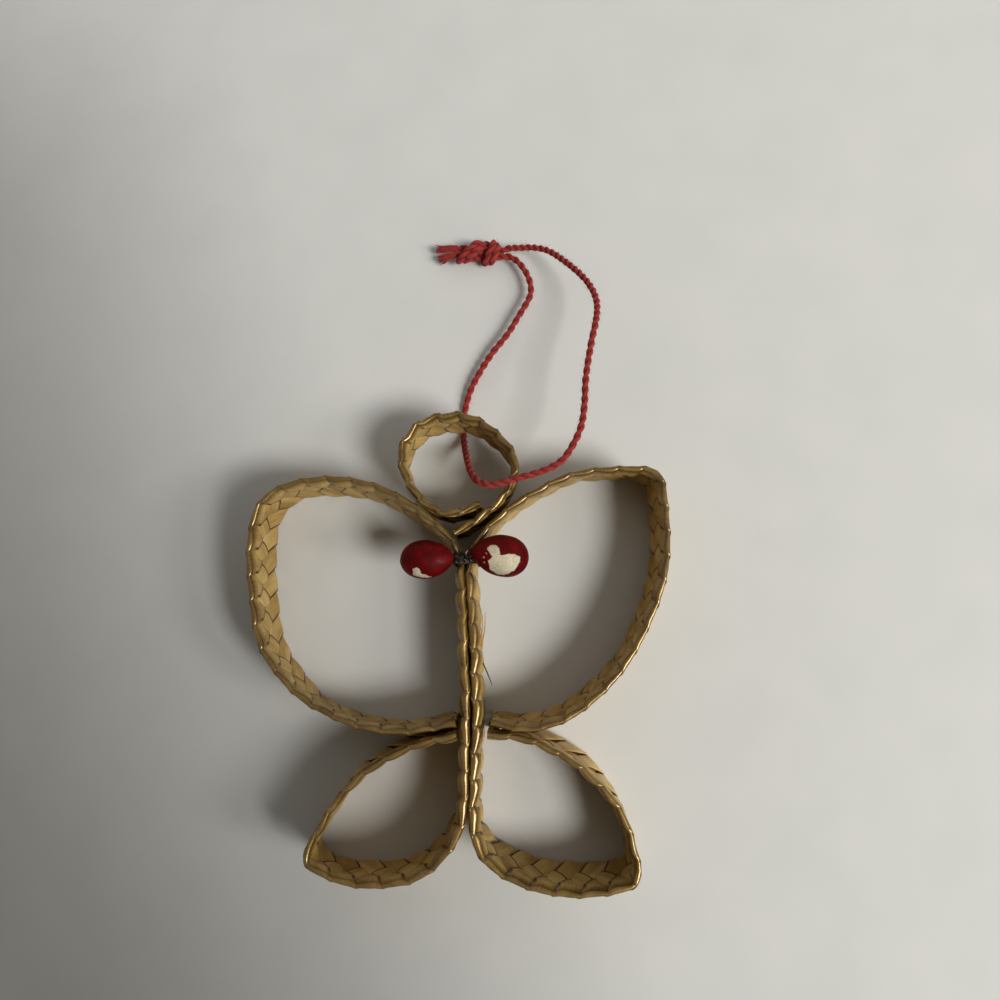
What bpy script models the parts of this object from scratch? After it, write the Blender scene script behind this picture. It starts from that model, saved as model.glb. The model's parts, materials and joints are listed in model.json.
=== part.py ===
"""Plaited straw ornament: a figure with butterfly wings, two lacquered berries and a yarn loop.

Two long seven-straw plaits stand on edge and are bent into wings that meet along the body.
A third plait makes the ring of the head. A wire binds the neck and carries the berries.
Metres, +Z up, lying flat. The origin is below the middle of the ornament, at its underside.
"""
import math

import bmesh
import bpy
from mathutils import Matrix, Vector

MM = 0.001
GAP = 0.3 * MM

# The plait: seven flattened straws, woven over two and under two
PLAIT_WIDTH = 15.4 * MM
PLAIT_THICK = 1.5 * MM
FOLD_PITCH = 4.9 * MM
STEPS_PER_FOLD = 3
RIM_FLAT = 0.7 * MM
SHOULDER = 1.1 * MM
SCALLOP = 0.3 * MM
LEAF_RELIEF = 0.14 * MM

# The head's plait is woven a little finer, and rides clear of the yarn that passes under it
HEAD_WIDTH = 13.4 * MM
HEAD_PITCH = 4.4 * MM

# The neck, where the wire pinches both plaits together
NECK = Vector((1.35, 16.6)) * MM
LEFT_NECK_X = -0.05 * MM
RIGHT_NECK_X = 2.95 * MM
PINCH_REACH = 1.9 * MM
PINCH_TOP = 0.7 * MM
PINCH_FOOT = 1.1 * MM

# Each station of a plait's middle line at its top rim: x and y in mm, its heading in degrees
# from +X, and how far its foot stands to the left of the rim, because no plait is quite upright
LEFT_STATIONS = [
    (-0.1, -15.0, 188, 0.0), (-11.0, -16.5, 181, 0.4), (-26.5, -12.4, 154, 1.1),
    (-36.5, -3.6, 128, -0.1), (-40.3, 6.5, 100, -0.3), (-41.6, 18.5, 90, -0.5),
    (-40.3, 27.0, 62, -0.3), (-35.2, 31.2, 21, 0.1), (-26.0, 32.7, 0, -0.9),
    (-14.0, 29.9, -27, -1.1), (-5.0, 23.9, -42, -1.1), (0.0, 17.6, -68, 0.0),
    (0.4, 12.0, -86, 0.0), (1.4, -3.0, -88, 0.0), (1.6, -14.0, -90, 0.0),
    (1.4, -25.0, -91, 0.0), (0.8, -33.0, -102, -0.6), (-3.0, -39.9, -132, -0.6),
    (-14.2, -44.3, 180, 0.4), (-24.6, -42.5, 156, 1.6), (-27.7, -40.6, 125, 1.4),
    (-27.6, -38.0, 60, 0.9), (-24.9, -33.2, 63, 0.5), (-18.8, -25.6, 42, 0.7),
    (-10.0, -20.3, 24, 0.4), (0.0, -17.6, 12, 0.0),
]
RIGHT_STATIONS = [
    (6.7, -14.8, -16, 0.0), (14.0, -16.0, 2, 0.8), (24.0, -12.3, 36, 0.6),
    (33.5, -2.6, 56, 0.1), (39.4, 9.1, 70, 0.4), (41.5, 18.9, 87, 0.3),
    (41.2, 29.4, 93, 0.0), (40.4, 32.9, 118, -0.5), (37.4, 34.4, 176, -1.0),
    (28.0, 34.2, 182, -1.3), (17.8, 31.0, 207, -0.8), (10.0, 26.3, 220, -0.2),
    (4.6, 20.8, 232, 0.0), (2.7, 16.4, 262, 0.0), (3.0, 12.0, -84, 0.0),
    (4.3, -1.0, -87, 0.0), (4.7, -14.0, -91, 0.0), (4.1, -24.0, -92, 0.0),
    (3.6, -31.5, -90, 0.0), (4.6, -38.0, -62, 0.2), (9.3, -42.6, -28, 1.2),
    (21.3, -45.7, -2, 0.9), (30.6, -44.9, 13, 0.4), (33.6, -43.5, 55, -0.3),
    (34.1, -41.1, 104, -0.4), (31.9, -33.3, 114, -0.6), (25.1, -24.8, 138, -1.2),
    (16.1, -19.3, 156, -0.8), (5.9, -17.5, 178, 0.0),
]
HEAD_STATIONS = [
    (4.6, 27.7, 194, 0.0), (-1.8, 26.0, 182, 0.0), (-7.8, 28.9, 133, 0.0),
    (-11.8, 37.3, 93, 0.2), (-9.2, 42.9, 50, 0.2), (-1.4, 45.8, 2, 0.0),
    (6.2, 43.1, -38, 0.0), (11.3, 36.3, -80, 0.0), (9.2, 29.7, -121, 0.0),
    (4.2, 25.1, -140, 0.0), (-1.0, 22.1, -154, 0.0),
]

# The berries: narrower at the stem, round at the far end
BERRY_SIDES = 16
BERRY_RINGS = 9
LEFT_BERRY = {"tip": (-1.8, 16.6, 16.2), "end": (-11.5, 16.3, 13.8), "width": 7.7, "taper": 0.25}
RIGHT_BERRY = {"tip": (3.7, 18.0, 17.6), "end": (14.0, 16.3, 15.1), "width": 8.3, "taper": 0.4}

# The wire: its windings lie side by side as one band, under a twisted knot
WIRE_THICK = 0.45 * MM
BAND_WIDTH = 2.0 * MM
BAND_CORNER = 0.9 * MM
WIRE_KNOT_SIZE = Vector((3.4, 3.6, 1.7)) * MM
STEM_RADIUS = 0.35 * MM

# The yarn: its middle line in mm, from the knot, under the ring, up through it and back
YARN_DIAMETER = 1.5 * MM
YARN_STEP = 2.4
YARN_POINTS = [
    (10.3, 86.7, 2.4), (11.7, 85.8, 2.9), (13.3, 83.9, 3.6), (14.6, 81.4, 4.0), (15.2, 78.8, 4.1),
    (14.8, 76.4, 4.1), (12.7, 72.7, 3.9), (9.8, 67.9, 3.5), (6.4, 63.6, 3.0), (3.5, 59.1, 2.3),
    (1.4, 54.8, 1.5), (0.3, 50.4, 1.0), (0.0, 47.0, 0.85), (0.1, 44.4, 1.15), (0.6, 41.4, 4.0),
    (1.3, 38.3, 8.0), (2.2, 35.0, 12.0), (3.6, 32.5, 15.2), (5.6, 31.3, 16.5), (7.8, 31.3, 16.7),
    (10.6, 32.1, 16.6), (13.4, 32.9, 16.4), (17.4, 34.2, 16.0), (20.9, 36.3, 15.6),
    (23.4, 40.0, 15.1), (25.1, 44.0, 14.5), (25.8, 48.4, 13.8), (26.3, 55.1, 12.8),
    (27.6, 62.1, 11.4), (29.1, 69.0, 10.0), (29.2, 73.4, 9.1), (27.6, 77.9, 7.9),
    (24.0, 82.5, 6.5), (19.6, 86.4, 5.2), (16.1, 87.8, 4.5), (12.7, 87.9, 4.2), (10.3, 87.8, 4.3),
]

# The knot of the yarn: half widths across and upwards along its length, tails to the left
KNOT_MIDDLE_HEIGHT = 2.6 * MM
KNOT_AXIS_Y = 87.9 * MM
KNOT_SECTIONS = [
    (-6.8, 2.1, 0.9), (-5.4, 2.1, 1.0), (-4.0, 2.0, 1.0), (-2.4, 2.2, 1.4), (-0.8, 2.6, 2.1),
    (0.8, 2.6, 2.2), (2.4, 2.8, 2.3), (4.0, 2.9, 2.3), (5.6, 2.7, 2.2), (7.2, 2.3, 1.9),
    (8.6, 1.9, 1.6), (9.6, 1.6, 1.4),
]
KNOT_SIDES = 12
KNOT_LOBE = 0.1
KNOT_TWIST_PER_MM = 0.55

STRAW = ("straw", (0.40, 0.25, 0.085), 0.42, 0.0)
LACQUER = ("red_lacquer", (0.17, 0.003, 0.004), 0.12, 0.0)
WIRE = ("dark_wire", (0.045, 0.035, 0.03), 0.4, 0.8)
WOOL = ("red_wool", (0.45, 0.02, 0.03), 0.9, 0.0)


def finish_material(look):
    """One Principled material for each look, made once."""
    name, colour, roughness, metallic = look
    material = bpy.data.materials.get(name)
    if material is None:
        material = bpy.data.materials.new(name)
        material.use_nodes = True
        shader = material.node_tree.nodes["Principled BSDF"]
        shader.inputs["Base Color"].default_value = (*colour, 1.0)
        shader.inputs["Roughness"].default_value = roughness
        shader.inputs["Metallic"].default_value = metallic
    return material


def add_object(name, mesh, look):
    """Link a finished mesh as a named object with its material."""
    obj = bpy.data.objects.new(name, mesh)
    bpy.context.collection.objects.link(obj)
    mesh.materials.append(finish_material(look))
    return obj


def mesh_from_rings(name, rings):
    """A closed body through rings of points, each ring counter-clockwise about the direction of travel."""
    body = bmesh.new()
    rows = [[body.verts.new(point) for point in ring] for ring in rings]
    count = len(rows[0])
    for row, following in zip(rows, rows[1:]):
        for k in range(count):
            after = (k + 1) % count
            body.faces.new((row[k], row[after], following[after], following[k]))
    body.faces.new(rows[0][::-1])
    body.faces.new(rows[-1])
    bmesh.ops.recalc_face_normals(body, faces=body.faces)
    mesh = bpy.data.meshes.new(name)
    body.to_mesh(mesh)
    body.free()
    return mesh


# ---------------------------------------------------------------- plaits


def hermite_run(start, end, samples=24):
    """Points (x, y, foot) from one station to the next, leaving out the last, near to an arc."""
    p0 = Vector(start[:2]) * MM
    p1 = Vector(end[:2]) * MM
    a0 = math.radians(start[2])
    a1 = math.radians(end[2])
    turn = (a1 - a0 + math.pi) % (2 * math.pi) - math.pi
    half = max(abs(turn) / 2, 1e-3)
    reach = 2 * math.tan(half / 2) / math.sin(half) * (p1 - p0).length
    t0 = Vector((math.cos(a0), math.sin(a0))) * reach
    t1 = Vector((math.cos(a1), math.sin(a1))) * reach
    points = []
    for k in range(samples):
        u = k / samples
        ease = 3 * u**2 - 2 * u**3
        place = p0 * (1 - ease) + t0 * (u**3 - 2 * u**2 + u) + p1 * ease + t1 * (u**3 - u**2)
        foot = (start[3] * (1 - ease) + end[3] * ease) * MM
        points.append(Vector((*place, foot)))
    return points


def even_points(points, count, dims):
    """The polyline cut into count equal lengths, measured in its first two or three dimensions."""
    lengths = [0.0]
    for a, b in zip(points, points[1:]):
        lengths.append(lengths[-1] + math.dist(a[:dims], b[:dims]))
    cut = []
    k = 0
    for n in range(count + 1):
        want = lengths[-1] * n / count
        while k < len(points) - 2 and lengths[k + 1] < want:
            k += 1
        share = (want - lengths[k]) / (lengths[k + 1] - lengths[k])
        cut.append(points[k].lerp(points[k + 1], share))
    return cut


def plait_line(stations, pitch):
    """The plait's middle line, with a whole number of folds along it."""
    points = []
    for start, end in zip(stations, stations[1:]):
        points += hermite_run(start, end)
    x, y, _, foot = stations[-1]
    points.append(Vector((x, y, foot)) * MM)
    length = sum(math.dist(a[:2], b[:2]) for a, b in zip(points, points[1:]))
    folds = round(length / pitch)
    return even_points(points, folds * STEPS_PER_FOLD, 2)


def saw(phase):
    """Rises through one fold and drops at its end, as each straw dives under the next."""
    return phase % 1.0 - 0.5


def plait_section(phase, width, foot, pinch):
    """Half of a cross-section, as (half thickness, height), from the foot to the top rim.

    The rims are scalloped where a straw folds over the edge. Between them three rows of
    leaves lean forwards, backwards and forwards again, which makes the herringbone.
    """
    top = foot + width - PINCH_TOP * pinch
    low = foot + PINCH_FOOT * pinch
    bulge = abs(math.sin(math.pi * phase))
    upper_bulge = abs(math.cos(math.pi * phase))
    half = PLAIT_THICK / 2
    waist = SCALLOP * 0.7
    rise = top - low
    return [
        (RIM_FLAT / 2, low),
        (half - waist * (1 - bulge), low + SHOULDER),
        (half - LEAF_RELIEF + LEAF_RELIEF * saw(phase + 0.67), low + rise * 0.36),
        (half - LEAF_RELIEF + LEAF_RELIEF * saw(phase), low + rise * 0.64),
        (half - waist * (1 - upper_bulge), top - SHOULDER),
        (RIM_FLAT / 2, top - SCALLOP * (1 - upper_bulge)),
    ]


def plait(name, stations, pitch, width, foot):
    """One plait standing on edge along its stations."""
    line = plait_line(stations, pitch)
    rings = []
    for n, point in enumerate(line):
        along = (line[min(n + 1, len(line) - 1)] - line[max(n - 1, 0)]).to_2d().normalized()
        side = Vector((-along.y, along.x))
        rim = point.to_2d()
        pinch = math.exp(-(((rim - NECK).length / PINCH_REACH) ** 4))
        section = plait_section(n / STEPS_PER_FOLD, width, foot, pinch)
        ring = []
        for half, height in section:
            middle = rim + side * point.z * (PLAIT_WIDTH - height) / PLAIT_WIDTH
            ring.append(Vector((*(middle - side * half), height)))
        for half, height in reversed(section):
            middle = rim + side * point.z * (PLAIT_WIDTH - height) / PLAIT_WIDTH
            ring.append(Vector((*(middle + side * half), height)))
        rings.append(ring)
    return add_object(name, mesh_from_rings(name, rings), STRAW)


# ---------------------------------------------------------------- berries


def berry(name, tip, end, width, taper):
    """A lacquered berry: a teardrop turned about the line from its tip to its round end."""
    tip = Vector(tip) * MM
    end = Vector(end) * MM
    length = (end - tip).length
    angles = [math.pi * k / BERRY_RINGS for k in range(1, BERRY_RINGS)]
    swell = [math.sin(a) * math.sin(a / 2) ** taper for a in angles]
    scale = width / 2 * MM / max(swell)
    body = bmesh.new()
    first = body.verts.new((0, 0, 0))
    last = body.verts.new((0, 0, length))
    rows = []
    for a, s in zip(angles, swell):
        height = length * (1 - math.cos(a)) / 2
        turns = [2 * math.pi * k / BERRY_SIDES for k in range(BERRY_SIDES)]
        rows.append([body.verts.new((scale * s * math.cos(t), scale * s * math.sin(t), height)) for t in turns])
    for k in range(BERRY_SIDES):
        after = (k + 1) % BERRY_SIDES
        body.faces.new((first, rows[0][after], rows[0][k]))
        body.faces.new((last, rows[-1][k], rows[-1][after]))
        for row, following in zip(rows, rows[1:]):
            body.faces.new((row[k], row[after], following[after], following[k]))
    place = Matrix.Translation(tip) @ (end - tip).to_track_quat("Z", "Y").to_matrix().to_4x4()
    bmesh.ops.transform(body, matrix=place, verts=body.verts)
    bmesh.ops.recalc_face_normals(body, faces=body.faces)
    mesh = bpy.data.meshes.new(name)
    body.to_mesh(mesh)
    body.free()
    mesh.shade_smooth()
    return add_object(name, mesh, LACQUER)


# ---------------------------------------------------------------- wire


def rounded_loop(low, high, corner, corner_steps=3):
    """A rounded rectangle of (across, height) points, counter-clockwise."""
    centres = [
        (high[0] - corner, high[1] - corner, 0),
        (low[0] + corner, high[1] - corner, 90),
        (low[0] + corner, low[1] + corner, 180),
        (high[0] - corner, low[1] + corner, 270),
    ]
    points = []
    for x, z, first in centres:
        for k in range(corner_steps + 1):
            a = math.radians(first + 90 * k / corner_steps)
            points.append((x + corner * math.cos(a), z + corner * math.sin(a)))
    return points


def wire_band():
    """The windings round both plaits, as one closed band with a low ridge along each edge."""
    half = PLAIT_THICK / 2
    left = LEFT_NECK_X - half - GAP - WIRE_THICK
    right = RIGHT_NECK_X + half + GAP + WIRE_THICK
    top = PLAIT_WIDTH - PINCH_TOP + GAP + WIRE_THICK + 0.1 * MM
    foot = PINCH_FOOT - GAP - WIRE_THICK - 0.25 * MM
    outer = rounded_loop((left, foot), (right, top), BAND_CORNER)
    inner = rounded_loop(
        (left + WIRE_THICK, foot + WIRE_THICK), (right - WIRE_THICK, top - WIRE_THICK),
        BAND_CORNER - WIRE_THICK,
    )
    body = bmesh.new()
    front = NECK.y - BAND_WIDTH / 2
    back = NECK.y + BAND_WIDTH / 2
    rows = []
    for points, y in ((outer, front), (outer, back), (inner, back), (inner, front)):
        rows.append([body.verts.new((x, y, z)) for x, z in points])
    count = len(outer)
    for row, following in zip(rows, rows[1:] + rows[:1]):
        for k in range(count):
            after = (k + 1) % count
            body.faces.new((row[k], row[after], following[after], following[k]))
    bmesh.ops.recalc_face_normals(body, faces=body.faces)
    mesh = bpy.data.meshes.new("binding_wire")
    body.to_mesh(mesh)
    body.free()
    return add_object("binding_wire", mesh, WIRE)


def join_solid(target, cutter_mesh, name):
    """Fuse a closed mesh to the target with a Boolean union, and apply it."""
    tool = bpy.data.objects.new(name, cutter_mesh)
    bpy.context.collection.objects.link(tool)
    join = target.modifiers.new(name, "BOOLEAN")
    join.operation = "UNION"
    join.object = tool
    bpy.context.view_layer.update()
    evaluated = target.evaluated_get(bpy.context.evaluated_depsgraph_get())
    fused = bpy.data.meshes.new_from_object(evaluated)
    target.modifiers.remove(join)
    target.data = fused
    bpy.data.objects.remove(tool)


def binding_wire():
    """Windings round the neck, the twisted knot on top and the two stems to the berries."""
    wire = wire_band()
    top = PLAIT_WIDTH - PINCH_TOP + GAP + WIRE_THICK
    knot_centre = Vector(((LEFT_NECK_X + RIGHT_NECK_X) / 2, NECK.y, top + WIRE_KNOT_SIZE.z * 0.38))
    body = bmesh.new()
    bmesh.ops.create_icosphere(body, subdivisions=2, radius=0.5)
    for vert in body.verts:
        around = math.atan2(vert.co.y, vert.co.x)
        vert.co *= 1 + 0.09 * math.cos(5 * around + 6 * vert.co.z / 0.5)
    bmesh.ops.scale(body, vec=WIRE_KNOT_SIZE, verts=body.verts)
    bmesh.ops.translate(body, vec=knot_centre, verts=body.verts)
    lump = bpy.data.meshes.new("wire_knot")
    body.to_mesh(lump)
    body.free()
    join_solid(wire, lump, "wire_knot")
    for spec in (LEFT_BERRY, RIGHT_BERRY):
        tip = Vector(spec["tip"]) * MM
        reach = tip - knot_centre
        stem_end = tip - reach.normalized() * GAP
        body = bmesh.new()
        bmesh.ops.create_cone(
            body, cap_ends=True, segments=8, radius1=STEM_RADIUS, radius2=STEM_RADIUS,
            depth=(stem_end - knot_centre).length,
        )
        turn = reach.to_track_quat("Z", "Y").to_matrix().to_4x4()
        place = Matrix.Translation((knot_centre + stem_end) / 2) @ turn
        bmesh.ops.transform(body, matrix=place, verts=body.verts)
        stem = bpy.data.meshes.new("stem")
        body.to_mesh(stem)
        body.free()
        join_solid(wire, stem, "stem")
    wire.data.materials.clear()
    wire.data.materials.append(finish_material(WIRE))
    wire.name = "binding_wire"
    return wire


# ---------------------------------------------------------------- yarn


def smooth_curve(points, samples=10):
    """A Catmull-Rom curve through the points."""
    dense = []
    last = len(points) - 1
    for k in range(last):
        p0 = points[max(k - 1, 0)]
        p1 = points[k]
        p2 = points[k + 1]
        p3 = points[min(k + 2, last)]
        for n in range(samples):
            u = n / samples
            dense.append(
                0.5 * (2 * p1 + (p2 - p0) * u + (2 * p0 - 5 * p1 + 4 * p2 - p3) * u**2
                       + (3 * p1 - p0 - 3 * p2 + p3) * u**3)
            )
    dense.append(points[-1])
    return dense


def hanging_yarn():
    """The free yarn as a plain tube along its route."""
    dense = smooth_curve([Vector(p) * MM for p in YARN_POINTS])
    length = sum((b - a).length for a, b in zip(dense, dense[1:]))
    line = even_points(dense, round(length / (YARN_STEP * YARN_DIAMETER)), 3)
    curve = bpy.data.curves.new("hanging_yarn", "CURVE")
    curve.dimensions = "3D"
    curve.bevel_depth = YARN_DIAMETER / 2
    curve.bevel_resolution = 2
    curve.use_fill_caps = True
    spline = curve.splines.new("POLY")
    spline.points.add(len(line) - 1)
    for place, point in zip(spline.points, line):
        place.co = (*point, 1.0)
    curve.materials.append(finish_material(WOOL))
    obj = bpy.data.objects.new("hanging_yarn", curve)
    bpy.context.collection.objects.link(obj)
    return obj


def yarn_knot():
    """The overhand knot of both yarn ends, with its two short tails side by side."""
    rings = []
    for x, across, upward in KNOT_SECTIONS:
        ring = []
        for k in range(KNOT_SIDES):
            a = 2 * math.pi * k / KNOT_SIDES
            lobe = 1 + KNOT_LOBE * math.cos(2 * a - 2 * math.pi * KNOT_TWIST_PER_MM * x / 2)
            y = KNOT_AXIS_Y + across * MM * lobe * math.cos(a)
            z = KNOT_MIDDLE_HEIGHT + upward * MM * lobe * math.sin(a)
            ring.append(Vector((x * MM, y, z)))
        rings.append(ring)
    return add_object("yarn_knot", mesh_from_rings("yarn_knot", rings), WOOL)


for old in list(bpy.data.objects):
    bpy.data.objects.remove(old, do_unlink=True)

plait("left_plait", LEFT_STATIONS, FOLD_PITCH, PLAIT_WIDTH, 0.0)
plait("right_plait", RIGHT_STATIONS, FOLD_PITCH, PLAIT_WIDTH, 0.0)
plait("head_plait", HEAD_STATIONS, HEAD_PITCH, HEAD_WIDTH, PLAIT_WIDTH - HEAD_WIDTH)
berry("left_berry", **LEFT_BERRY)
berry("right_berry", **RIGHT_BERRY)
binding_wire()
hanging_yarn()
yarn_knot()
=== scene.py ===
"""The straw ornament's looks: plaited straw wings, lacquered berries, binding wire and yarn.

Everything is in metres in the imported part's own frame. The ornament lies flat on its plaits' edges.
"""

import json
import math
import random

import bmesh
import bpy
from mathutils import Matrix, Vector, noise

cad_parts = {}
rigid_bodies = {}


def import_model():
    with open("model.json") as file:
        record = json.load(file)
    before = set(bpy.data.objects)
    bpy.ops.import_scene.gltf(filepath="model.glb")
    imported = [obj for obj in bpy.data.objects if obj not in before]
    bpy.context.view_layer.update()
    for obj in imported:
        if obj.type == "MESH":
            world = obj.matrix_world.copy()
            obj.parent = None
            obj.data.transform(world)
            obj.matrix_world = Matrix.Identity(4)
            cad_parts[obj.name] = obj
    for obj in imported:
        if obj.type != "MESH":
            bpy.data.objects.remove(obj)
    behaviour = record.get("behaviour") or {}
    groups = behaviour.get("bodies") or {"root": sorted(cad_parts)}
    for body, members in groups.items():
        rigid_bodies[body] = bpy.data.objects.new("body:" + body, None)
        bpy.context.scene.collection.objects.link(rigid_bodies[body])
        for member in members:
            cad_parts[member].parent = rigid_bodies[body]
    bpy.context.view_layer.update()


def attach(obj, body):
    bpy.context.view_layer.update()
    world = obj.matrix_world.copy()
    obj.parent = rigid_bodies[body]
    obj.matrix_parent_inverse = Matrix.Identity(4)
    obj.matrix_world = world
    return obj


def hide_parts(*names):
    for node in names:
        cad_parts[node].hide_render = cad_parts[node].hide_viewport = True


for leftover in list(bpy.data.objects):
    bpy.data.objects.remove(leftover, do_unlink=True)
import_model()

# ---------------------------------------------------------------- Camera
# A wide lens at hand height above the table. It looks almost straight down on the ornament, from
# a little below its middle.

MM = 0.001
CAMERA_PLACE = Vector((10.73, 5.51, 164.15)) * MM
CAMERA_LOOK = Vector((-0.01561, 0.15136, -0.98835))
CAMERA_UP = Vector((0.00239, 0.98848, 0.15135))
LENS_MM = 27.04
SENSOR_MM = 36.0
CLIP_START = 10 * MM
look = CAMERA_LOOK.normalized()
right = look.cross(CAMERA_UP).normalized()
up = right.cross(look)
bpy.ops.object.camera_add(location=CAMERA_PLACE)
camera = bpy.context.object
camera.name = "camera"
camera.rotation_euler = Matrix((right, up, -look)).transposed().to_euler()
camera.data.lens = LENS_MM
camera.data.sensor_width = SENSOR_MM
camera.data.clip_start = CLIP_START
bpy.context.scene.camera = camera

# ---------------------------------------------------------------- Yarn
# A crimson wool yarn, two plies twisted together, about 1.5 mm thick. Its two ends are tied in
# one knot, it passes under the ring of the head, comes up through it and returns to the knot.

YARN_DIAMETER = 1.5 * MM
YARN_RING_STEP = 0.2 * MM
# Each ply's radius as a share of the yarn's, and the length of one turn of the twist
PLY_THICKNESS = 0.66
PLY_TURN = 4.2 * MM
PLY_SIDES = 9
# The last stretch back to the knot was twisted harder
TIGHT_FROM = 118 * MM
TIGHT_TWIST = 1.4
# The wool is unevenly spun: lumps of about 1 mm, and the share of the radius that they add
LUMPS_PER_METRE = 900
LUMPS_ROUND = 2
LUMP_SIZE = 0.12
# The fibres turn a little less than the plies
FIBRE_TWIST = 0.8
# Where the yarn runs, from the knot to the ring of the head and back to the knot, in mm
YARN_POINTS = [
    (10.3, 86.7, 2.4), (11.7, 85.8, 2.7), (13.3, 83.9, 3.0), (14.6, 81.4, 3.1), (15.2, 78.8, 3.0),
    (14.8, 76.4, 2.9), (12.7, 72.7, 2.8), (9.8, 67.9, 2.6), (6.4, 63.6, 2.3), (3.5, 59.1, 1.9),
    (1.4, 54.8, 1.5), (0.3, 50.4, 1.0), (0.0, 47.0, 0.85), (0.1, 44.4, 1.15), (0.6, 41.4, 4.0),
    (1.3, 38.3, 8.0), (2.2, 35.0, 12.0), (3.6, 32.5, 15.2), (5.6, 31.3, 16.5), (7.8, 31.3, 16.7),
    (10.6, 32.1, 16.6), (13.4, 32.9, 16.4), (17.4, 34.2, 16.1), (20.8, 36.2, 15.8),
    (23.3, 39.8, 15.4), (25.0, 43.8, 15.0), (25.7, 48.2, 14.6), (26.2, 54.6, 14.2),
    (27.4, 61.4, 13.4), (28.8, 67.9, 12.5), (28.9, 72.2, 11.7), (27.3, 76.7, 10.3),
    (23.8, 81.5, 8.4), (19.5, 85.8, 6.4), (16.1, 87.4, 5.2), (12.7, 87.7, 4.6), (10.3, 87.8, 4.3),
]


def smooth_curve(points, samples=10):
    """A Catmull-Rom curve through the points."""
    dense = []
    last = len(points) - 1
    for k in range(last):
        p0, p1 = points[max(k - 1, 0)], points[k]
        p2, p3 = points[k + 1], points[min(k + 2, last)]
        for n in range(samples):
            u = n / samples
            dense.append(
                0.5 * (2 * p1 + (p2 - p0) * u + (2 * p0 - 5 * p1 + 4 * p2 - p3) * u**2
                       + (3 * p1 - p0 - 3 * p2 + p3) * u**3)
            )
    dense.append(points[-1])
    return dense


def even_points(points, count, dims=3):
    """The line cut into count equal lengths, measured in its first two or three dimensions."""
    lengths = [0.0]
    for a, b in zip(points, points[1:]):
        lengths.append(lengths[-1] + math.dist(a[:dims], b[:dims]))
    cut = []
    k = 0
    for n in range(count + 1):
        want = lengths[-1] * n / count
        while k < len(points) - 2 and lengths[k + 1] < want:
            k += 1
        share = (want - lengths[k]) / (lengths[k + 1] - lengths[k])
        cut.append(points[k].lerp(points[k + 1], share))
    return cut


def line_length(points):
    return sum((b - a).length for a, b in zip(points, points[1:]))


def carried_frames(line):
    """Two unit vectors across the line at each point, carried along it without twist."""
    frames = []
    ahead = (line[1] - line[0]).normalized()
    side = ahead.orthogonal().normalized()
    for k in range(len(line)):
        before, after = line[max(k - 1, 0)], line[min(k + 1, len(line) - 1)]
        now = (after - before).normalized()
        side = (ahead.rotation_difference(now) @ side).normalized()
        side = (side - now * side.dot(now)).normalized()
        frames.append((side, now.cross(side)))
        ahead = now
    return frames


def ply_outline(radius):
    """(angle, radius, depth) round two plies pressed together: the depth is 1 in the groove."""
    ply = radius * PLY_THICKNESS
    centre = radius - ply
    outline = []
    for k in range(2 * PLY_SIDES):
        angle = math.pi * k / PLY_SIDES
        off = (angle + math.pi / 2) % math.pi - math.pi / 2
        reach = centre * math.cos(off) + math.sqrt(ply**2 - (centre * math.sin(off)) ** 2)
        outline.append((angle, reach, abs(off) * 2 / math.pi))
    return outline


def twisted_tube(name, line, radius, tight_from=math.inf):
    """A closed tube of two twisted plies round the line, with two UV maps.

    "along" holds the way along in metres and the turn round that the wool's fibres keep to, and
    "groove" how deep each point lies between the plies. The twist is tighter past tight_from.
    """
    outline = ply_outline(radius)
    frames = carried_frames(line)
    verts, uvs = [], []
    travelled = twist = 0.0
    count = len(outline)
    for k, (point, (side, over)) in enumerate(zip(line, frames)):
        if k:
            step = (point - line[k - 1]).length
            travelled += step
            harder = TIGHT_TWIST if travelled > tight_from else 1.0
            twist += 2 * math.pi * step / PLY_TURN * harder
        for angle, reach, depth in outline:
            a = angle + twist
            x, y = math.cos(angle) * LUMPS_ROUND, math.sin(angle) * LUMPS_ROUND
            lump = noise.noise(Vector((travelled * LUMPS_PER_METRE, x, y))) * LUMP_SIZE
            verts.append(point + (side * math.cos(a) + over * math.sin(a)) * reach * (1 + lump))
            uvs.append((travelled, (angle + FIBRE_TWIST * twist) / (2 * math.pi), depth))
    faces = []
    for k in range(len(line) - 1):
        for n in range(count):
            m = (n + 1) % count
            faces.append((k * count + n, k * count + m, (k + 1) * count + m, (k + 1) * count + n))
    faces.append(tuple(range(count - 1, -1, -1)))
    faces.append(tuple(range(len(verts) - count, len(verts))))
    mesh = bpy.data.meshes.new(name)
    mesh.from_pydata(verts, [], faces)
    along = mesh.uv_layers.new(name="along")
    groove = mesh.uv_layers.new(name="groove")
    for face in mesh.polygons:
        columns = [mesh.loops[loop].vertex_index % count for loop in face.loop_indices]
        last = count - 1 in columns and len(columns) == 4
        for loop, column in zip(face.loop_indices, columns):
            far, turn, depth = uvs[mesh.loops[loop].vertex_index]
            along.data[loop].uv = (far, turn + 1 if last and column == 0 else turn)
            groove.data[loop].uv = (depth, 0.0)
    mesh.polygons.foreach_set("use_smooth", [True] * len(mesh.polygons))
    obj = bpy.data.objects.new(name, mesh)
    bpy.context.collection.objects.link(obj)
    return obj


def colour(hex_code):
    """An sRGB hex colour as linear RGBA."""
    parts = [int(hex_code[k:k + 2], 16) / 255 for k in (1, 3, 5)]
    return [c / 12.92 if c <= 0.04045 else ((c + 0.055) / 1.055) ** 2.4 for c in parts] + [1.0]


def new_material(name, **settings):
    """A material with these values on its shader. Returns it, its node tree and its shader."""
    material = bpy.data.materials.new(name)
    material.use_nodes = True
    shader = material.node_tree.nodes["Principled BSDF"]
    for key, value in settings.items():
        shader.inputs[key.replace("_", " ")].default_value = value
    return material, material.node_tree, shader


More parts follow.
